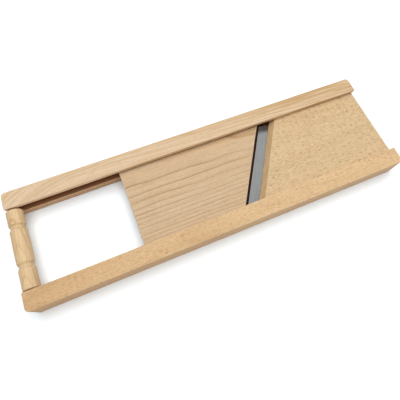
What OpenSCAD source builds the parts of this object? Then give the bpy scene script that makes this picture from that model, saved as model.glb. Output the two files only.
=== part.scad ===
// Single-blade wooden cabbage cutter.
// Two grooved rails hold a front plate, a rear plate and a skewed steel blade, and a turned handle
// joins the rails at one end. X runs along the rails with the handle at -X, Y runs across them and
// Z is up. The origin is in the middle of the underside. All sizes are in millimetres.

/* [Rails] */
// Length of each rail
rail_length = 400; // [340:5:480]
// Width of each rail, seen from above
rail_width = 18; // [15:0.5:24]
// Height of each rail
rail_height = 25; // [22:0.5:32]
// Clear width between the two rails
clear_width = 82; // [64:1:110]
// Height of the lip above the groove
lip_height = 5.2; // [3:0.2:7]
// Depth of the groove that holds the plates
groove_depth = 6; // [4.5:0.5:8]
// Radius of the outer upright corners at the rail ends
corner_radius = 4; // [1:0.5:5]
// Radius under each rail end, seen from the side
toe_radius = 5; // [3:0.5:12]

/* [Plates] */
// Thickness of the rear plate
rear_thickness = 11; // [9:0.5:13]
// Step from the top of the rear plate down to the top of the front plate
slice_step = 1.4; // [0.6:0.1:3]
// Length of the open hand bay and handle, from the rail ends to the front plate
bay_length = 112.5; // [95:0.5:130]
// How far the rear plate's end stays inside the rail ends
rear_inset = 1.5; // [0.5:0.5:6]
// Play around a plate in its groove
groove_play = 0.1; // [0.05:0.05:0.3]
// Chamfer along the top edges of the plate ends
end_chamfer = 0.9; // [0.4:0.1:1.5]

/* [Blade] */
// Place of the cutting edge on the middle line, from the handle end of the rails
edge_place = 248.6; // [225:0.2:270]
// Angle of the cutting edge from square across the board
skew = 32.5; // [20:0.5:40]
// Width of the blade, from its edge to its back
blade_width = 28; // [25:0.5:32]
// Thickness of the blade
blade_thickness = 1; // [0.6:0.1:1.4]
// Length of the ground bevel under the cutting edge
grind_length = 4; // [2:0.5:6]
// Thickness left at the cutting edge
edge_thickness = 0.12; // [0.06:0.02:0.3]
// Length of blade that runs into the near rail's groove
blade_tongue = 4.5; // [3:0.5:5.5]
// Gap between the blade's far end and the far rail
blade_gap = 2.4; // [0.5:0.1:4]
// Height of the blade's back above the underside of the rear plate
back_lift = 0.5; // [0.2:0.1:1.5]
// Play between the blade and its bed
bed_play = 0.05; // [0.02:0.01:0.1]

/* [Throat] */
// Width of the slit between the front plate and the cutting edge
throat_width = 2.2; // [1:0.1:4]
// Height of the upright part of the front plate's end
throat_land = 2.5; // [1.5:0.1:4]
// Angle of the slanted cut that leads the shreds down under the blade, from upright
slant_angle = 50; // [35:1:55]
// Blade that shows between its edge and the rear plate's nose, seen from above
blade_show = 11; // [8:0.2:14]
// Length of the bevel on the rear plate's nose, seen from above
nose_length = 5.8; // [4:0.1:9]

/* [Handle] */
// Diameter of the handle at its collars
handle_d = 15.6; // [13:0.2:18]
// How far the handle's side stands out past the rail ends
handle_proud = 1.9; // [0:0.1:2.5]
// How far the handle's top lies below the rail tops
handle_drop = 1.2; // [0.8:0.1:4]
// Extra diameter in the middle of the barrel
barrel_swell = 0.5; // [0:0.1:1.5]
// Length of the collar at each end
collar_length = 16.6; // [10:0.2:20]
// How far the barrel and its coves sit off the middle, towards the far rail
cove_shift = 2.3; // [-4:0.1:4]
// Width of the turned cove beside each collar
cove_width = 8; // [5:0.5:10]
// Depth of the coves
cove_depth = 1.4; // [0.6:0.1:2.5]
// Chamfer around each shoulder
shoulder_chamfer = 0.8; // [0.3:0.1:1.5]
// Gap between each shoulder and its rail
shoulder_gap = 1; // [0.3:0.1:1.5]
// Diameter of the tenons
tenon_d = 7.2; // [6:0.2:8]
// Depth of the tenon sockets behind the groove
socket_depth = 6; // [4:0.5:8]
// Radial play of a tenon in its socket
tenon_play = 0.05; // [0.02:0.01:0.1]
// Space left at the bottom of a socket
socket_space = 0.3; // [0.1:0.1:1]

/* [Fasteners] */
// Diameter of the blade screws
screw_d = 3; // [2:0.2:3.6]
// Length of a blade screw under its head
screw_length = 7; // [5:0.5:7.5]
// Diameter of the screw heads
screw_head_d = 5.6; // [4.6:0.2:7]
// Height of the domed screw heads
screw_head_h = 1.8; // [1.2:0.1:2.2]
// Distance from the screws to the blade's back
screw_back = 6.5; // [5:0.5:8]
// Distance from one screw to the next along the blade
screw_pitch = 30; // [20:1:36]
// Radial play of a screw in the blade's hole
screw_play = 0.2; // [0.1:0.05:0.4]
// Diameter of the brads that pin the plates
brad_d = 1.6; // [1.2:0.1:2]
// Length of a brad
brad_length = 15; // [12:0.5:16]
// Diameter of the brad heads
brad_head_d = 2.8; // [2.2:0.1:3.6]
// Height of the brad heads
brad_head_h = 0.8; // [0.5:0.1:1.2]
// Depth of the brad heads below the rail's underside
brad_sink = 0.3; // [0.1:0.1:1]
// Distance from a plate's end to its nearest brad
brad_inset = 18; // [14:0.5:24]
// Radial play of a driven fastener in its wood
driven_play = 0.03; // [0.02:0.01:0.06]

/* [Hidden] */
$fn = 64;

// Overrun of a cutting tool past the face that it cuts
over = 1;
// Reach of a shape that is trimmed by another
reach = rail_length;
// Points along each curved stretch of the handle
turn_steps = 24;
// Slot in a screw head, as shares of the head's diameter and height
slot_width_share = 1 / 6;
slot_depth_share = 1 / 2;
// Width of a screw's blunt point, as a share of its diameter
point_share = 1 / 8;

rail_tone = [0.86, 0.71, 0.50];
plate_tone = [0.85, 0.71, 0.55];
handle_tone = [0.89, 0.75, 0.54];
steel_tone = [0.60, 0.62, 0.63];
brad_tone = [0.72, 0.72, 0.70];

// Heights
groove_top = rail_height - lip_height;
groove_floor = groove_top - rear_thickness - 2 * groove_play;
rear_top = groove_top - groove_play;
rear_bottom = rear_top - rear_thickness;
front_top = rear_top - slice_step;
edge_top = rear_top;

// Places along and across the board
rail_middle = handle_proud / 2;
left_end = rail_middle - rail_length / 2;
right_end = rail_middle + rail_length / 2;
front_end = left_end + bay_length;
rear_end = right_end - rear_inset;
edge_x = left_end + edge_place;
inner_face = clear_width / 2;
groove_back = inner_face + groove_depth;
outer_face = inner_face + rail_width;
plate_side = groove_back - groove_play;
handle_x = left_end - handle_proud + handle_d / 2 + barrel_swell / 2;
handle_z = rail_height - handle_drop - handle_d / 2;
shoulder_y = inner_face - shoulder_gap;
socket_end = groove_back + socket_depth;
tenon_end = socket_end - socket_space;
cove_out = shoulder_y - collar_length;
cove_in = cove_out - cove_width;

// The blade fills the thickness of the rear plate from corner to corner, which sets its slope
blade_slope = asin((rear_thickness - back_lift) / norm([blade_width, blade_thickness]))
            - atan(blade_thickness / blade_width);
nose_tip_z = edge_top - blade_show * tan(blade_slope);
bed_end = rear_thickness / tan(blade_slope);
screw_u = blade_width - screw_back;
screw_offsets = [-screw_pitch, 0, screw_pitch];
brad_y = (inner_face + groove_back) / 2;

// X of a line parallel to the cutting edge, at a distance behind it, where it crosses a given Y
function skew_x(behind, y) = edge_x + behind / cos(skew) + y * tan(skew);

// Places of the brads along a rail whose groove is centred on Y
function brad_places(y) = [
    front_end + brad_inset,
    skew_x(-throat_width, y) - brad_inset,
    skew_x(bed_end, y) + brad_inset,
    rear_end - brad_inset
];

// Moves a shape to the cutting edge: X behind the edge, Y along it, Z up
module at_edge() {
    translate([edge_x, 0, edge_top]) rotate([0, 0, -skew]) children();
}

// Moves a shape to the blade's upper face: X from edge to back, Y along the edge, Z out of the face
module on_blade() {
    at_edge() rotate([0, blade_slope, 0]) children();
}

// Places a child at each blade screw, at the blade's lower face
module at_screws() {
    middle = screw_u * cos(blade_slope) * tan(skew);
    for (offset = screw_offsets)
        on_blade() translate([screw_u, middle + offset, -bed_play - blade_thickness]) children();
}

// Places a child under each brad of the near rail and the far rail
module at_brads() {
    for (y = [-brad_y, brad_y])
        for (x = brad_places(y))
            translate([x, y, 0]) children();
}

// Extrudes an outline drawn in X and Z along Y, centred
module across(width) {
    rotate([90, 0, 0]) linear_extrude(height = width, center = true) children();
}

// What has to be cut away to round an edge that lies on the Z axis, with the wood at +X and +Y
module edge_cut(radius, length) {
    difference() {
        translate([-over, -over, -length / 2]) cube([radius + over, radius + over, length]);
        translate([radius, radius, 0]) cylinder(r = radius, h = length + 2 * over, center = true);
    }
}

// Brad with its head at the rail's underside, widened all round by the play
module brad(play = 0) {
    translate([0, 0, brad_sink]) cylinder(d = brad_d + 2 * play, h = brad_length + play);
    translate([0, 0, brad_sink]) cylinder(d = brad_head_d + 2 * play, h = brad_head_h + play);
}

// Cross-section of the far rail in Y and Z, with the groove towards the board
module rail_section() {
    difference() {
        translate([inner_face, 0]) square([rail_width, rail_height]);
        translate([inner_face - over, groove_floor]) square([groove_depth + over, groove_top - groove_floor]);
    }
}

// Grooved length of the far rail with its corners and toes rounded
module rail_blank() {
    translate([rail_middle, 0, 0])
        difference() {
            rotate([90, 0, 90]) linear_extrude(height = rail_length, center = true) rail_section();
            for (turn = [0, 1]) mirror([turn, 0, 0]) {
                translate([-rail_length / 2, outer_face, rail_height / 2]) mirror([0, 1, 0])
                    edge_cut(corner_radius, rail_height + 2 * over);
                translate([-rail_length / 2, inner_face + rail_width / 2, 0]) rotate([90, 0, 0])
                    edge_cut(toe_radius, rail_width + 2 * over);
            }
        }
}

// Rail with its tenon socket and brad holes, on the side given by +1 (far) or -1 (near)
module rail(side) {
    difference() {
        mirror([0, side < 0 ? 1 : 0, 0])
            difference() {
                rail_blank();
                translate([handle_x, inner_face - over, handle_z]) rotate([-90, 0, 0])
                    cylinder(d = tenon_d + 2 * tenon_play, h = over + groove_depth + socket_depth);
            }
        for (x = brad_places(side * brad_y)) translate([x, side * brad_y, 0]) {
            brad(driven_play);
            translate([0, 0, -over])
                cylinder(d = brad_head_d + 2 * driven_play, h = over + brad_sink + brad_head_h);
        }
    }
}

module near_rail() color(rail_tone) rail(-1);

module far_rail() color(rail_tone) rail(1);

// Front plate: square at the bay, skewed at the throat and slanted down under the blade
module front_plate() color(plate_tone)
    difference() {
        intersection() {
            across(2 * plate_side) polygon([
                [front_end, rear_bottom],
                [front_end + reach, rear_bottom],
                [front_end + reach, front_top],
                [front_end + end_chamfer, front_top],
                [front_end, front_top - end_chamfer]
            ]);
            at_edge() across(2 * reach) front_outline();
        }
        at_brads() brad(driven_play);
    }

// Outline of the front plate square to the cutting edge, from the edge as origin
module front_outline() {
    top = front_top - edge_top;
    deep = rear_thickness + over;
    land = top - throat_land;
    slant = (deep + land) * tan(slant_angle);
    polygon([
        [-reach, -deep],
        [slant - throat_width, -deep],
        [-throat_width, land],
        [-throat_width, top - end_chamfer],
        [-throat_width - end_chamfer - over, top + over],
        [-reach, top + over]
    ]);
}

// Rear plate: bevelled nose above the blade, sloping bed below it, square at the far end
module rear_plate() color(plate_tone)
    difference() {
        intersection() {
            across(2 * plate_side) polygon([
                [rear_end - reach, rear_bottom],
                [rear_end, rear_bottom],
                [rear_end, rear_top - end_chamfer],
                [rear_end - end_chamfer, rear_top],
                [rear_end - reach, rear_top]
            ]);
            at_edge() across(2 * reach) rear_outline();
        }
        at_screws() cylinder(d = screw_d + 2 * driven_play, h = screw_length + bed_play + driven_play);
        at_brads() brad(driven_play);
    }

// Outline of the rear plate square to the cutting edge, from the edge as origin
module rear_outline() {
    tip = nose_tip_z - edge_top;
    rise = over * nose_length / -tip;
    run = over / tan(blade_slope);
    polygon([
        [blade_show, tip],
        [bed_end + run, -rear_thickness - over],
        [reach, -rear_thickness - over],
        [reach, over],
        [blade_show + nose_length + rise, over]
    ]);
}

// Blade: ground from below, with its ends cut along the rails and its near end run into the groove
module blade() color(steel_tone)
    difference() {
        intersection() {
            on_blade() translate([0, 0, -bed_play]) across(2 * reach) polygon([
                [0, 0],
                [blade_width, 0],
                [blade_width, -blade_thickness],
                [grind_length, -blade_thickness],
                [0, -edge_thickness]
            ]);
            translate([-reach, -inner_face - blade_tongue, 0])
                cube([2 * reach, 2 * inner_face + blade_tongue - blade_gap, rail_height]);
        }
        at_screws() cylinder(d = screw_d + 2 * screw_play, h = 4 * blade_thickness, center = true);
    }

// Radius of the handle at a place along it: barrel, coves and collars
function handle_r(y) =
    let (
        off = abs(y - cove_shift),
        swell = barrel_swell / 2 * pow(cos(90 * min(1, off / cove_in)), 2),
        in_cove = off > cove_in && off < cove_out,
        dip = in_cove ? cove_depth * pow(sin(180 * (cove_out - off) / cove_width), 2) : 0
    )
    handle_d / 2 + swell - dip;

// Stations along the handle between its shoulders, closer together in the coves
function handle_stations() = [
    shoulder_chamfer - shoulder_y,
    for (i = [0:turn_steps]) cove_shift - cove_out + cove_width * i / turn_steps,
    for (i = [1:turn_steps - 1]) cove_shift - cove_in + 2 * cove_in * i / turn_steps,
    for (i = [0:turn_steps]) cove_shift + cove_in + cove_width * i / turn_steps,
    shoulder_y - shoulder_chamfer
];

// Turned handle with its tenons
module handle() color(handle_tone)
    translate([handle_x, 0, handle_z]) rotate([-90, 0, 0])
        rotate_extrude() polygon([
            [0, -tenon_end],
            [tenon_d / 2 - shoulder_chamfer, -tenon_end],
            [tenon_d / 2, shoulder_chamfer - tenon_end],
            [tenon_d / 2, -shoulder_y],
            [handle_d / 2 - shoulder_chamfer, -shoulder_y],
            for (y = handle_stations()) [handle_r(y), y],
            [handle_d / 2 - shoulder_chamfer, shoulder_y],
            [tenon_d / 2, shoulder_y],
            [tenon_d / 2, tenon_end - shoulder_chamfer],
            [tenon_d / 2 - shoulder_chamfer, tenon_end],
            [0, tenon_end]
        ]);

// Domed wood screw, head below the blade
module screw() {
    dome_r = (pow(screw_head_d / 2, 2) + pow(screw_head_h, 2)) / (2 * screw_head_h);
    point = screw_d / 2;
    slot_w = screw_head_d * slot_width_share;
    difference() {
        intersection() {
            translate([0, 0, dome_r - screw_head_h]) sphere(r = dome_r);
            translate([0, 0, -screw_head_h]) cylinder(d = screw_head_d + over, h = screw_head_h);
        }
        translate([-screw_head_d, -slot_w / 2, -screw_head_h - over])
            cube([2 * screw_head_d, slot_w, over + screw_head_h * slot_depth_share]);
    }
    cylinder(d = screw_d, h = screw_length - point);
    translate([0, 0, screw_length - point]) cylinder(d1 = screw_d, d2 = screw_d * point_share, h = point);
}

module blade_screws() color(steel_tone) at_screws() screw();

module plate_brads() color(brad_tone) at_brads() brad();

near_rail();
far_rail();
front_plate();
rear_plate();
blade();
handle();
blade_screws();
plate_brads();
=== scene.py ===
# Looks of the single-blade wooden cabbage cutter: eased edges, beech, steel, light and camera.
# Lengths are in metres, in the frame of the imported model. Names that end in _mm or _MM are in millimetres.
import math
from dataclasses import dataclass

import bmesh
import bpy
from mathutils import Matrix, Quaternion, Vector


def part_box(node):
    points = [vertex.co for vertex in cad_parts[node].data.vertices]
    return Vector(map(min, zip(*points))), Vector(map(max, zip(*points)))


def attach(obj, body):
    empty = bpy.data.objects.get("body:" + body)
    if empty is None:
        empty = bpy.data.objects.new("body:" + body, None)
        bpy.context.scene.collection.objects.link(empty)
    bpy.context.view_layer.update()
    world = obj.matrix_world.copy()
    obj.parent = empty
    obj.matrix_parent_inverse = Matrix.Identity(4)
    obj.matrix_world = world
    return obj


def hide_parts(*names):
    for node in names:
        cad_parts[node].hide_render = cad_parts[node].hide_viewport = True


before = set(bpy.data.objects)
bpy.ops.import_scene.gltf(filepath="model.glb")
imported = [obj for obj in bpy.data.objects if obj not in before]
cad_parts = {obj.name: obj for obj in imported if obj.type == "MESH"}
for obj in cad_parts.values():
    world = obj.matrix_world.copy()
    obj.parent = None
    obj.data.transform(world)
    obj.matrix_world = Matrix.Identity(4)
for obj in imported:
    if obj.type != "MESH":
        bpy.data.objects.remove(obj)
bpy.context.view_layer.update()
MM = 0.001

# Camera, fitted to the photograph's 400 by 400 frame
CAMERA_PLACE = Vector((-0.0689, -0.1176, 0.3353))
CAMERA_AIM = Vector((-0.0062, -0.0111, 0.0200))
CAMERA_ROLL = math.radians(8.27)
CAMERA_LENS_MM = 29.7
CAMERA_SENSOR_MM = 36
CAMERA_SHIFT = (-0.025, -0.025)
CAMERA_NEAREST = 0.01

# Mesh work on the wooden pieces
WELD = 0.001 * MM
FLAT_ANGLE = math.radians(0.5)
SHARP_ANGLE = math.radians(25)
SHADE_ANGLE = math.radians(50)
SHORT_EDGE = 2 * MM
EASE_SEGMENTS = 3
EASE_PROFILE = 0.5
# Width of the easing in millimetres, and share of paler worn wood with a painted highlight on the eased top
# edges
EASES = {
    "near_rail": (0.6, 0.3),
    "far_rail": (1.0, 0.7),
    "front_plate": (0.3, 0.4),
    "rear_plate": (0.3, 0.4),
}

# How faces are told apart, and what they are marked with
SLACK = 0.3 * MM
CHAMFER_RISE = (0.5, 0.9)
CHAMFER_DEPTH = 1.2 * MM
# Share of paler worn wood with a painted highlight on a plate's chamfers
CHAMFER_WEAR_AND_HIGHLIGHT = 1.7
PAINTED_SHADE_FACING = 0.3
UPRIGHT = 0.95
EDGE_LAYER = "eased_edge"
# Layer of painted shade
PAINTED_SHADE_LAYER = "painted_shade"
# How much painted shade shows on each kind of face, where past 1 it goes on to the painted deep shade of the
# throat
PAINTED_SHADE_SHARES = {"groove": 0.80, "throat": 1.9, "below groove": 0.39, "outside": 0.25}


def tone(red, green, blue):
    """Linear colour, with alpha, of an sRGB colour given in 0 to 255."""
    shares = [value / 255 for value in (red, green, blue)]
    linear = [s / 12.92 if s <= 0.04045 else ((s + 0.055) / 1.055) ** 2.4 for s in shares]
    return (*linear, 1.0)


# The wood's tones are given as they look under the lights, which are this much brighter than white
LIGHT_GAIN = 1.38


def lit(red, green, blue):
    """Colour of wood that looks like the given sRGB colour under the lights."""
    return tuple(value / LIGHT_GAIN for value in tone(red, green, blue)[:3]) + (1.0,)


class Graph:
    """Adds shader nodes to one material and links them. A value is a socket, a number or a colour."""

    def __init__(self, name):
        self.material = bpy.data.materials.new(name)
        self.material.use_nodes = True
        self.tree = self.material.node_tree
        self.tree.nodes.clear()
        self.shader = self.tree.nodes.new("ShaderNodeBsdfPrincipled")
        output = self.tree.nodes.new("ShaderNodeOutputMaterial")
        self.tree.links.new(self.shader.outputs["BSDF"], output.inputs["Surface"])

    def put(self, socket, value):
        if isinstance(value, bpy.types.NodeSocket):
            self.tree.links.new(value, socket)
        else:
            socket.default_value = value

    def add(self, kind, inputs=(), **settings):
        node = self.tree.nodes.new(kind)
        for key, value in settings.items():
            setattr(node, key, value)
        for key, value in dict(inputs).items():
            self.put(node.inputs[key], value)
        return node

    def math(self, operation, *values, clamp=False):
        node = self.add("ShaderNodeMath", operation=operation, use_clamp=clamp)
        for socket, value in zip(node.inputs, values):
            self.put(socket, value)
        return node.outputs[0]

    def place(self, along, across, up):
        return self.add("ShaderNodeCombineXYZ", {"X": along, "Y": across, "Z": up}).outputs[0]

    def split(self, vector):
        return self.add("ShaderNodeSeparateXYZ", {"Vector": vector}).outputs

    def layer(self, name):
        return self.add("ShaderNodeAttribute", attribute_name=name).outputs["Fac"]

    def noise(self, vector, detail=2.0, roughness=0.5):
        inputs = {"Vector": vector, "Scale": 1.0, "Detail": detail, "Roughness": roughness}
        return self.add("ShaderNodeTexNoise", inputs).outputs["Fac"]

    def centred(self, noise):
        """A noise about zero instead of about a half."""
        return self.math("SUBTRACT", noise, 0.5)

    def spots(self, vector):
        return self.add("ShaderNodeTexVoronoi", {"Vector": vector, "Scale": 1.0}).outputs

    def spread(self, value, low, high, to_low=0.0, to_high=1.0):
        inputs = {"Value": value, "From Min": low, "From Max": high, "To Min": to_low, "To Max": to_high}
        return self.add("ShaderNodeMapRange", inputs, interpolation_type="SMOOTHSTEP").outputs["Result"]

    def curve(self, value, points):
        node = self.add("ShaderNodeFloatCurve", {"Value": value})
        line = node.mapping.curves[0]
        line.points[0].location = points[0]
        line.points[1].location = points[-1]
        for point in points[1:-1]:
            line.points.new(*point)
        node.mapping.update()
        return node.outputs[0]

    def mix(self, share, first, second, blend="MIX"):
        node = self.add("ShaderNodeMix", data_type="RGBA", blend_type=blend)
        self.put(node.inputs["Factor"], share)
        self.put(node.inputs[6], first)
        self.put(node.inputs[7], second)
        return node.outputs[2]

    def surface(self, name, value):
        self.put(self.shader.inputs[name], value)

    def bump(self, height, depth, strength):
        inputs = {"Height": height, "Distance": depth, "Strength": strength}
        self.surface("Normal", self.add("ShaderNodeBump", inputs).outputs["Normal"])


@dataclass
class Board:
    """How one board was cut. Depths are the most of a darker tone that shows, from 0 to 1."""

    # Early and late wood
    pale: tuple
    late: tuple
    # Middle of the log, across and up in the board's frame, and its drift per millimetre along the grain
    pith_mm: tuple
    lean: tuple
    # Width of a growth ring
    ring_mm: float
    ring_depth: float
    streak_depth: float
    speckle_depth: float
    # Length and width of the cells that may hold a ray fleck, and the share of them that do
    fleck_mm: tuple
    fleck_share: float
    fleck_depth: float
    # Shift along the grain, in cells, that gives each board a figure of its own
    seed: float
    # Where in a ring the count of rings begins
    ring_start: float = 0.0
    # Length and width of the broad bands
    band_mm: tuple = (160, 12)
    band_depth: float = 0.25
    # Share of late wood that is gained at the handle's end and at the other end
    drift: tuple = (0.0, 0.0)
    # Boldness of rings and bands up to the middle and at the end away from the handle
    figure: tuple = (1.0, 1.0)
    # Bend of the grain to the side near the handle, in millimetres per square millimetre
    sweep: float = 0.0
    # Golden wedge, painted shade in the corners beside the lips, and painted warm bounce light on the near
    # side
    wedge_depth: float = 0.0
    corner_shade_depth: float = 0.0
    bounce_share: float = 0.0
    # Facing along the grain over which a surface turns to end grain
    end_facing: tuple = (0.12, 0.75)
    grain_axis: str = "X"


BOARDS = {
    "near_rail": Board(
        pale=lit(239, 203, 154), late=lit(190, 140, 86), pith_mm=(-50, -70), lean=(0.01, 0.02),
        ring_mm=3.1, ring_depth=0.20, streak_depth=0.40, speckle_depth=0.55,
        fleck_mm=(6.0, 0.7), fleck_share=0.42, fleck_depth=0.70, seed=3.1,
        drift=(0.26, -0.22),
    ),
    "far_rail": Board(
        pale=lit(239, 211, 178), late=lit(199, 156, 93), pith_mm=(75, -40), lean=(-0.03, 0.02),
        ring_mm=1.6, ring_depth=0.45, streak_depth=0.55, speckle_depth=0.25,
        fleck_mm=(7.0, 0.9), fleck_share=0.25, fleck_depth=0.35, seed=11.7,
        ring_start=0.3, band_mm=(150, 2.4), band_depth=0.45,
        drift=(0.0, 0.15), figure=(1.0, 3.4), sweep=0.0045, bounce_share=1.0,
    ),
    "front_plate": Board(
        pale=lit(225, 193, 154), late=lit(172, 134, 93), pith_mm=(40.3, -181.7), lean=(-0.005, 0.0015),
        ring_mm=1.28, ring_depth=1.0, streak_depth=0.42, speckle_depth=0.30,
        fleck_mm=(6.0, 1.0), fleck_share=0.30, fleck_depth=0.25, seed=23.4,
        ring_start=-0.15, wedge_depth=0.36, corner_shade_depth=0.05,
    ),
    "rear_plate": Board(
        pale=lit(233, 201, 155), late=lit(184, 143, 93), pith_mm=(12, -95), lean=(0.01, 0.01),
        ring_mm=4.3, ring_depth=0.15, streak_depth=0.20, speckle_depth=0.58,
        fleck_mm=(7.0, 0.75), fleck_share=0.50, fleck_depth=1.0, seed=37.9,
    ),
    "handle": Board(
        pale=lit(241, 208, 161), late=lit(196, 152, 102), pith_mm=(-189, -14), lean=(0.03, 0.12),
        ring_mm=3.2, ring_depth=0.62, streak_depth=0.60, speckle_depth=0.25,
        fleck_mm=(6.0, 0.9), fleck_share=0.20, fleck_depth=0.30, seed=51.2,
        end_facing=(0.3, 0.85), grain_axis="Y",
    ),
}

# Tones that all boards share
FLECK_TONE = lit(146, 104, 62)
# Paler worn wood with a painted highlight, for eased edges and chamfers
EDGE_WEAR_AND_HIGHLIGHT_TONE = lit(252, 234, 206)
BROAD_TONE = lit(202, 162, 114)
WEDGE_TONE = lit(214, 170, 112)
# Painted shade in grooves, beside the lips, below the grooves and on the near outside, and painted deep
# shade in the throat
PAINTED_SHADE_TONE = lit(160, 90, 31)
THROAT_SHADE_TONE = lit(84, 44, 24)
# Gain of the faces that are turned to the near side: painted warm bounce light off the plates
PAINTED_BOUNCE_GAIN = (1.25, 1.15, 1.04, 1.0)

# Cells of the wood's noises: length along the grain, width and height
WANDER_CELL_MM = (80, 35, 35)
FIBRE_CELL_MM = (33, 1.1, 1.1)
SPECKLE_CELL_MM = (3.2, 0.7, 0.7)
PORE_CELL_MM = (1.6, 0.22, 0.22)
SLANT_CELL_MM = (7, 5, 5)
CLUSTER_CELL_MM = (45, 11, 11)

# Grain: half the rails' length, how far the grain wanders across and up, where it starts to sweep towards
# the handle, and where the figure starts to get bolder away from it
HALF_LENGTH_MM = 200
WANDER_MM = (4.0, 2.0)
SWEEP_START_MM = 125
FIGURE_START_MM = 40
# Rings: late wood through one ring, then the noises that shift and fade them, as length along the grain and
# cells per ring
RING_CURVE = [(0.0, 0.1), (0.08, 0.0), (0.60, 0.1), (0.85, 0.35), (0.95, 1.0), (1.0, 0.1)]
UNEVEN_CELL = (300, 0.6)
UNEVEN_SHIFT = 0.5
FADE_CELL = (70, 0.9)
FADE_LEAST = 0.4
# Flecks: height against width, slant, how strongly they cluster, softness of the choice, least depth
FLECK_HEIGHT = 2.5
SLANT_MM = 3.0
CLUSTER_SWAY = 0.8
CHOICE_SOFTNESS = 0.1
FLECK_LEAST = 0.4
# Slope of the wedge along the grain, the place across over which it comes in, and that of the painted shade
# in the corners beside the lips
WEDGE_SLOPE = 0.067
WEDGE_MM = (36.2, 37.2)
CORNER_SHADE_MM = (38.5, 42.0)

# Values of a noise, a spot's distance or a facing over which each thing comes in
FADE_RANGE = (0.35, 0.65)
BAND_RANGE = (0.4, 0.75)
FIBRE_RANGE = (0.45, 0.75)
SPECKLE_RANGE = (0.4, 0.7)
FLECK_RANGE = (0.2, 0.4)
PORE_RANGE = (0.1, 0.35)
SIDE_FACING = (0.6, 0.95)
# Depths that all boards share
PORE_DEPTH = 0.08
END_DEPTH = 0.75
END_RING_DEPTH = 0.35
END_PORE_DEPTH = 0.25
EDGE_WEAR_AND_HIGHLIGHT_DEPTH = 0.45

# Surface of planed wood
WOOD_ROUGHNESS = 0.52
FIBRE_ROUGHNESS = 0.2
FLECK_GLOSS = 0.1
WOOD_SPECULAR = 0.35
PORE_DENT = 0.3
FLECK_DENT = 0.4
WOOD_RELIEF = 0.15 * MM
WOOD_RELIEF_STRENGTH = 0.5


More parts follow.
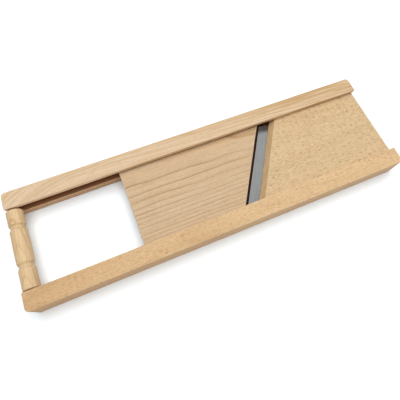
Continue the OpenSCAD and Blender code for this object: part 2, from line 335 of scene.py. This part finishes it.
class Beech(Graph):
    """Beech of one board: growth rings round the pith, fibres, bands, speckle, ray flecks and pores."""

    def __init__(self, name, board):
        super().__init__(name)
        self.board = board
        coordinates = self.add("ShaderNodeTexCoord").outputs
        self.position = self.split(coordinates["Object"])
        self.facing = self.split(coordinates["Normal"])
        self.lay_grain()
        self.grow_rings()
        self.draw_fibres()
        self.scatter_flecks()
        self.surface("Base Color", self.face_colour(self.grain_colour()))
        self.set_surface()

    def cell(self, length, width, height):
        """Place in cells of the given size in millimetres, drawn out along the grain."""
        shifted = self.math("MULTIPLY_ADD", self.along, 1 / length, self.board.seed)
        beside = self.math("DIVIDE", self.across, width)
        return self.place(shifted, beside, self.math("DIVIDE", self.up, height))

    def ring_noise(self, count, length, cells_per_ring, shift):
        """Noise that changes slowly along the grain and from ring to ring."""
        slow = self.math("DIVIDE", self.along, length)
        return self.noise(self.place(slow, self.math("MULTIPLY", count, cells_per_ring), shift))

    def lay_grain(self):
        """Place along, across and up the grain, which wanders so that no line is ruler straight."""
        board = self.board
        other_axis = "Y" if board.grain_axis == "X" else "X"
        axes = (board.grain_axis, other_axis, "Z")
        self.along, self.across, self.up = [self.math("DIVIDE", self.position[axis], MM) for axis in axes]
        wander = self.centred(self.noise(self.cell(*WANDER_CELL_MM)))
        self.across = self.math("MULTIPLY_ADD", wander, WANDER_MM[0], self.across)
        self.up = self.math("MULTIPLY_ADD", wander, WANDER_MM[1], self.up)
        past = self.math("MAXIMUM", self.math("SUBTRACT", -SWEEP_START_MM, self.along), 0.0)
        self.across = self.math("MULTIPLY_ADD", self.math("POWER", past, 2.0), board.sweep, self.across)

    def grow_rings(self):
        """Late wood of each ring, its share in the tone, and the boldness of the figure."""
        board = self.board
        log = zip(board.lean, board.pith_mm)
        pith = [self.math("MULTIPLY_ADD", self.along, lean, start) for lean, start in log]
        places = zip((self.across, self.up), pith)
        offsets = [self.math("SUBTRACT", here, middle) for here, middle in places]
        squares = [self.math("POWER", offset, 2.0) for offset in offsets]
        radius = self.math("SQRT", self.math("ADD", *squares))
        count = self.math("MULTIPLY_ADD", radius, 1 / board.ring_mm, board.ring_start)
        uneven = self.centred(self.ring_noise(count, *UNEVEN_CELL, board.seed))
        phase = self.math("FRACT", self.math("MULTIPLY_ADD", uneven, UNEVEN_SHIFT, count))
        self.late_wood = self.curve(phase, RING_CURVE)
        fading = self.ring_noise(count, *FADE_CELL, -board.seed)
        fade = self.spread(fading, *FADE_RANGE, FADE_LEAST * board.ring_depth, board.ring_depth)
        self.boldness = self.spread(self.along, FIGURE_START_MM, HALF_LENGTH_MM, *board.figure)
        self.late_share = self.math("MULTIPLY", self.math("MULTIPLY", self.late_wood, fade), self.boldness)

    def draw_fibres(self):
        """Fibre streaks, broad bands, speckle and pores, all drawn out along the grain."""
        band_length, band_width = self.board.band_mm
        self.fibre = self.noise(self.cell(*FIBRE_CELL_MM), detail=4.0, roughness=0.6)
        self.band = self.noise(self.cell(band_length, band_width, band_width), detail=1.0)
        self.speckle = self.noise(self.cell(*SPECKLE_CELL_MM), detail=2.0, roughness=0.6)
        self.pore = self.spread(self.spots(self.cell(*PORE_CELL_MM))["Distance"], *PORE_RANGE, 1.0, 0.0)

    def scatter_flecks(self):
        """Ray flecks: slanted spots in some of their cells, with more of them in some places."""
        board = self.board
        length, width = board.fleck_mm
        slant = self.math("MULTIPLY", self.centred(self.noise(self.cell(*SLANT_CELL_MM))), SLANT_MM)
        shifted = self.math("MULTIPLY_ADD", self.along, 1 / length, board.seed)
        slanted = self.math("DIVIDE", self.math("ADD", self.across, slant), width)
        spots = self.spots(self.place(shifted, slanted, self.math("DIVIDE", self.up, FLECK_HEIGHT * width)))
        chance = self.add("ShaderNodeSeparateColor", {"Color": spots["Color"]}).outputs
        crowd = self.noise(self.cell(*CLUSTER_CELL_MM))
        cluster = self.math("MULTIPLY_ADD", crowd, CLUSTER_SWAY, -CLUSTER_SWAY / 2)
        luck = self.math("ADD", chance["Red"], cluster)
        chosen = self.spread(luck, 1 - board.fleck_share, 1 + CHOICE_SOFTNESS - board.fleck_share)
        spot = self.spread(spots["Distance"], *FLECK_RANGE, 1.0, 0.0)
        depth = self.math("MULTIPLY_ADD", chance["Green"], 1 - FLECK_LEAST, FLECK_LEAST)
        self.fleck = self.math("MULTIPLY", self.math("MULTIPLY", spot, chosen), depth)

    def grain_colour(self):
        """Pale wood, then rings, wedge, bands, streaks, speckle, flecks and pores."""
        board = self.board
        drift = self.spread(self.along, -HALF_LENGTH_MM, HALF_LENGTH_MM, *board.drift)
        colour = self.mix(self.math("ADD", self.late_share, drift), board.pale, board.late)
        wedge = self.math("MULTIPLY_ADD", self.along, WEDGE_SLOPE, self.across)
        colour = self.mix(self.spread(wedge, *WEDGE_MM, 0.0, board.wedge_depth), colour, WEDGE_TONE)
        bands = self.spread(self.band, *BAND_RANGE, 0.0, board.band_depth)
        colour = self.mix(self.math("MULTIPLY", bands, self.boldness), colour, BROAD_TONE)
        streaks = self.spread(self.fibre, *FIBRE_RANGE, 0.0, board.streak_depth)
        colour = self.mix(streaks, colour, board.late)
        speckle = self.spread(self.speckle, *SPECKLE_RANGE, 0.0, board.speckle_depth)
        colour = self.mix(speckle, colour, board.late)
        colour = self.mix(self.math("MULTIPLY", self.fleck, board.fleck_depth), colour, FLECK_TONE)
        return self.mix(self.math("MULTIPLY", self.pore, PORE_DEPTH), colour, FLECK_TONE)

    def face_colour(self, colour):
        """The grain's colour with end grain, painted shade in the corners, painted bounce light on the sides
        turned to the near side, paler wood with a painted highlight on eased edges, and painted shade on
        shaded faces.
        """
        board = self.board
        end = self.spread(self.math("ABSOLUTE", self.facing[board.grain_axis]), *board.end_facing)
        end_pores = self.math("MULTIPLY", self.pore, END_PORE_DEPTH)
        end_marks = self.math("MULTIPLY_ADD", self.late_wood, END_RING_DEPTH, end_pores)
        colour = self.mix(self.math("MULTIPLY", end, END_DEPTH), colour, board.late)
        colour = self.mix(self.math("MULTIPLY", end, end_marks), colour, FLECK_TONE)
        # Painted shade in the corners beside the lips
        aside = self.math("DIVIDE", self.math("ABSOLUTE", self.position["Y"]), MM)
        colour = self.mix(self.spread(aside, *CORNER_SHADE_MM, 0.0, board.corner_shade_depth), colour, PAINTED_SHADE_TONE)
        # Painted warm bounce light on the faces turned to the near side
        towards_near = self.math("MULTIPLY", self.facing["Y"], -1.0)
        turned = self.spread(towards_near, *SIDE_FACING, 0.0, board.bounce_share)
        colour = self.mix(turned, colour, PAINTED_BOUNCE_GAIN, blend="MULTIPLY")
        # Paler worn wood with a painted highlight on eased edges and chamfers
        colour = self.mix(self.math("MULTIPLY", self.layer(EDGE_LAYER), EDGE_WEAR_AND_HIGHLIGHT_DEPTH), colour, EDGE_WEAR_AND_HIGHLIGHT_TONE)
        # Painted shade, going on past 1 to the painted deep shade of the throat
        painted_shade = self.layer(PAINTED_SHADE_LAYER)
        colour = self.mix(painted_shade, colour, PAINTED_SHADE_TONE)
        return self.mix(self.math("SUBTRACT", painted_shade, 1.0, clamp=True), colour, THROAT_SHADE_TONE)

    def set_surface(self):
        """Gloss and relief: fibres stand up, pores and flecks lie lower, and flecks shine a little more."""
        rough = self.math("MULTIPLY_ADD", self.fibre, FIBRE_ROUGHNESS, WOOD_ROUGHNESS)
        self.surface("Roughness", self.math("MULTIPLY_ADD", self.fleck, -FLECK_GLOSS, rough))
        self.surface("Specular IOR Level", WOOD_SPECULAR)
        fleck_dent = self.math("MULTIPLY", self.fleck, FLECK_DENT)
        dent = self.math("MULTIPLY_ADD", self.pore, PORE_DENT, fleck_dent)
        self.bump(self.math("SUBTRACT", self.fibre, dent), WOOD_RELIEF, WOOD_RELIEF_STRENGTH)


# Steel of each node. brush_angle is the direction of the brushed lines, seen from above, and brush_mm is
# their length and width. Over the stretch of Y given for the blade, the steel turns dark brown towards the
# far rail: a painted shadow of the far rail's lip.
BLADE_SKEW = math.radians(32.5)
STEELS = {
    "blade": dict(
        name="blade", base=tone(147, 148, 147), roughness=0.34, brush_angle=BLADE_SKEW, brush_mm=(40, 0.9),
        lip_shadow_mm=(29.5, 35.5),
    ),
    "blade_screws": dict(
        name="screws", base=tone(190, 190, 188), roughness=0.38, brush_angle=0.0, brush_mm=(2, 0.3),
    ),
    "plate_brads": dict(
        name="brads", base=tone(176, 176, 172), roughness=0.45, brush_angle=0.0, brush_mm=(2, 0.3),
    ),
}
# Painted shadow of the far rail's lip on the blade, with a blotchy edge
LIP_SHADOW_TONE = tone(64, 52, 42)
LIP_SHADOW_DEPTH = 0.9
LIP_SHADOW_SWAY_MM = 6.0
# Dull tone against the base, and how the brushed lines and the cloudy stains bring it in
DULLNESS = 0.7
LINE_RANGE = (0.35, 0.75)
LINE_DEPTH = 0.5
LINE_ROUGHNESS = 0.18
LINE_RELIEF = 0.02 * MM
LINE_RELIEF_STRENGTH = 0.4
# Cells of the stains per millimetre, along and across the lines
STAIN_CELLS = (0.05, 0.18)
STAIN_RANGE = (0.4, 0.8)
STAIN_DEPTH = 0.35
STAIN_ROUGHNESS = 0.1


def steel(name, base, roughness, brush_angle, brush_mm, lip_shadow_mm=None):
    """Metal with fine brushed lines in one direction and soft cloudy stains."""
    g = Graph(name)
    place = g.add("ShaderNodeTexCoord").outputs["Object"]
    turn = {"Vector": place, "Angle": brush_angle}
    split = g.split(g.add("ShaderNodeVectorRotate", turn, rotation_type="Z_AXIS").outputs[0])
    across, along, up = [g.math("DIVIDE", split[axis], MM) for axis in "XYZ"]
    length, width = brush_mm
    line_place = g.place(g.math("DIVIDE", along, length), g.math("DIVIDE", across, width),
                         g.math("DIVIDE", up, width))
    line = g.noise(line_place, detail=5.0, roughness=0.65)
    stain_along, stain_across = STAIN_CELLS
    stain_place = g.place(g.math("MULTIPLY", along, stain_along), g.math("MULTIPLY", across, stain_across),
                          g.math("MULTIPLY", up, stain_across))
    stain = g.noise(stain_place, detail=3.0)
    dull = tuple(value * DULLNESS for value in base[:3]) + (1.0,)
    colour = g.mix(g.spread(line, *LINE_RANGE, 0.0, LINE_DEPTH), base, dull)
    colour = g.mix(g.spread(stain, *STAIN_RANGE, 0.0, STAIN_DEPTH), colour, dull)
    # Painted shadow of the far rail's lip over the blade's far end
    if lip_shadow_mm:
        towards_far = g.math("DIVIDE", g.split(place)["Y"], MM)
        blotchy = g.math("MULTIPLY_ADD", g.centred(stain), LIP_SHADOW_SWAY_MM, towards_far)
        colour = g.mix(g.spread(blotchy, *lip_shadow_mm, 0.0, LIP_SHADOW_DEPTH), colour, LIP_SHADOW_TONE)
    g.surface("Base Color", colour)
    g.surface("Metallic", 1.0)
    rough = g.math("MULTIPLY_ADD", line, LINE_ROUGHNESS, roughness - LINE_ROUGHNESS / 2)
    g.surface("Roughness", g.math("MULTIPLY_ADD", stain, STAIN_ROUGHNESS, rough))
    g.bump(line, LINE_RELIEF, LINE_RELIEF_STRENGTH)
    return g.material


def dress(piece, material):
    """Gives a piece one material in place of those that it has."""
    piece.data.materials.clear()
    piece.data.materials.append(material)


def mark_groove(bm, name, layer):
    """Marks painted shade on the faces of a rail's groove, on the faces below it and on the rail's outside.
    """
    lo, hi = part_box("rear_plate")
    inner_face = min(abs(corner.y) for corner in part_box(name))
    outer_face = max(abs(corner.y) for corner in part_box(name))
    for face in bm.faces:
        if abs(face.normal.x) > PAINTED_SHADE_FACING:
            continue
        middle = face.calc_center_median()
        deep = inner_face + SLACK < abs(middle.y) < hi.y + SLACK
        if deep and lo.z - SLACK < middle.z < hi.z + SLACK:
            face[layer] = PAINTED_SHADE_SHARES["groove"]
        elif abs(middle.y) < inner_face + SLACK and middle.z < lo.z:
            face[layer] = PAINTED_SHADE_SHARES["below groove"]
        elif abs(middle.y) > outer_face - SLACK and abs(face.normal.y) > UPRIGHT:
            face[layer] = PAINTED_SHADE_SHARES["outside"]


def mark_throat(bm, top, edge_layer, shade_layer):
    """Marks a plate's chamfers as pale planed wood with a painted highlight, and its faces at the throat
    with painted deep shade.
    """
    for face in bm.faces:
        near_top = face.calc_center_median().z > top - CHAMFER_DEPTH
        if near_top and CHAMFER_RISE[0] < face.normal.z < CHAMFER_RISE[1]:
            face[edge_layer] = CHAMFER_WEAR_AND_HIGHLIGHT
        elif face.normal.x > PAINTED_SHADE_FACING and face.normal.y < -PAINTED_SHADE_FACING:
            face[shade_layer] = PAINTED_SHADE_SHARES["throat"]


def sharp_edges(bm, lo, hi):
    """Outer edges to ease: the long ones, and short ones on the sides or the top of the board's box."""

    def on_side(edge):
        ys = [vert.co.y for vert in edge.verts]
        zs = [vert.co.z for vert in edge.verts]
        flush = [max(abs(y - side) for y in ys) < WELD for side in (lo.y, hi.y)]
        return any(flush) or max(abs(z - hi.z) for z in zs) < WELD

    return [
        edge for edge in bm.edges
        if edge.is_manifold and edge.is_convex and edge.calc_face_angle() > SHARP_ANGLE
        and (edge.calc_length() > SHORT_EDGE or on_side(edge))
    ]


def eased_copy(name, ease, wear_and_highlight):
    """Copy of a CAD node with its outer edges eased by sandpaper, which stands for the node."""
    bm = bmesh.new()
    bm.from_mesh(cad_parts[name].data)
    bmesh.ops.remove_doubles(bm, verts=bm.verts, dist=WELD)
    bmesh.ops.dissolve_limit(bm, angle_limit=FLAT_ANGLE, verts=bm.verts[:], edges=bm.edges[:])
    lo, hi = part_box(name)
    sharp = sharp_edges(bm, lo, hi)
    edge_layer = bm.faces.layers.float.new(EDGE_LAYER)
    eased = bmesh.ops.bevel(bm, geom=sharp, offset=ease, offset_type="OFFSET", segments=EASE_SEGMENTS,
                            profile=EASE_PROFILE, affect="EDGES", clamp_overlap=True)
    # Paler worn wood with a painted highlight on the eased top edges
    for face in eased["faces"]:
        if face.calc_center_median().z > hi.z - 2 * ease:
            face[edge_layer] = wear_and_highlight
    shade_layer = bm.faces.layers.float.new(PAINTED_SHADE_LAYER)
    if name.endswith("rail"):
        mark_groove(bm, name, shade_layer)
    else:
        mark_throat(bm, hi.z, edge_layer, shade_layer)
    mesh = bpy.data.meshes.new(name + "_eased")
    bm.to_mesh(mesh)
    bm.free()
    mesh.shade_smooth()
    mesh.set_sharp_from_angle(angle=SHADE_ANGLE)
    piece = bpy.data.objects.new(name + "_eased", mesh)
    bpy.context.scene.collection.objects.link(piece)
    weighted = piece.modifiers.new("flat faces stay flat", "WEIGHTED_NORMAL")
    weighted.keep_sharp = True
    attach(piece, "root")
    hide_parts(name)
    return piece


def build_wood():
    """Eased rails and plates, and the turned handle."""
    for name, (ease_mm, wear_and_highlight) in EASES.items():
        dress(eased_copy(name, ease_mm * MM, wear_and_highlight), Beech(name, BOARDS[name]).material)
    dress(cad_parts["handle"], Beech("handle", BOARDS["handle"]).material)


def build_steel():
    """Blade, its screws and the brads."""
    for node, settings in STEELS.items():
        dress(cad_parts[node], steel(**settings))


# Studio: pale floor, the room's own light, and softboxes that point at the origin
FLOOR_HALF = 4.0
FLOOR_TONE = tone(247, 251, 253)
FLOOR_ROUGHNESS = 0.9
ROOM_COLOUR = (0.87, 0.945, 1.0, 1.0)
ROOM_STRENGTH = 0.33
SOFTBOXES = [
    dict(name="top_softbox", place=(0.08, 0.27, 1.5), size=1.8, power=33),
    dict(name="front_softbox", place=(-0.2, -1.4, 0.2), size=0.5, power=4.1, colour=(1.0, 0.91, 0.78)),
    dict(name="side_softbox", place=(1.3, 0.1, 0.9), size=0.9, power=2.5),
]


def build_floor():
    """Pale floor at the height that the rails stand on."""
    bm = bmesh.new()
    bmesh.ops.create_grid(bm, x_segments=1, y_segments=1, size=FLOOR_HALF)
    mesh = bpy.data.meshes.new("floor")
    bm.to_mesh(mesh)
    bm.free()
    floor = bpy.data.objects.new("floor", mesh)
    bpy.context.scene.collection.objects.link(floor)
    g = Graph("floor")
    g.surface("Base Color", FLOOR_TONE)
    g.surface("Roughness", FLOOR_ROUGHNESS)
    dress(floor, g.material)


def softbox(name, place, size, power, colour=(1.0, 1.0, 1.0)):
    """Square soft light that points at the origin."""
    light = bpy.data.lights.new(name, "AREA")
    light.shape = "SQUARE"
    light.size = size
    light.energy = power
    light.color = colour
    lamp = bpy.data.objects.new(name, light)
    lamp.location = place
    lamp.rotation_mode = "QUATERNION"
    lamp.rotation_quaternion = (-Vector(place)).to_track_quat("-Z", "Y")
    bpy.context.scene.collection.objects.link(lamp)


def build_light():
    """Soft light from above, from the front and from the side, and the room's own light."""
    room = bpy.data.worlds.new("room")
    room.use_nodes = True
    background = room.node_tree.nodes["Background"].inputs
    background["Color"].default_value = ROOM_COLOUR
    background["Strength"].default_value = ROOM_STRENGTH
    bpy.context.scene.world = room
    for settings in SOFTBOXES:
        softbox(**settings)


def build_camera():
    """Camera at the photograph's viewpoint."""
    lens = bpy.data.cameras.new("camera")
    lens.sensor_width = CAMERA_SENSOR_MM
    lens.lens = CAMERA_LENS_MM
    lens.shift_x, lens.shift_y = CAMERA_SHIFT
    lens.clip_start = CAMERA_NEAREST
    camera = bpy.data.objects.new("camera", lens)
    camera.location = CAMERA_PLACE
    camera.rotation_mode = "QUATERNION"
    level = (CAMERA_AIM - CAMERA_PLACE).to_track_quat("-Z", "Y")
    camera.rotation_quaternion = level @ Quaternion((0, 0, 1), CAMERA_ROLL)
    bpy.context.scene.collection.objects.link(camera)
    bpy.context.scene.camera = camera
    bpy.context.scene.view_settings.view_transform = "Standard"


build_camera()
build_floor()
build_light()
build_wood()
build_steel()

bpy.context.view_layer.update()
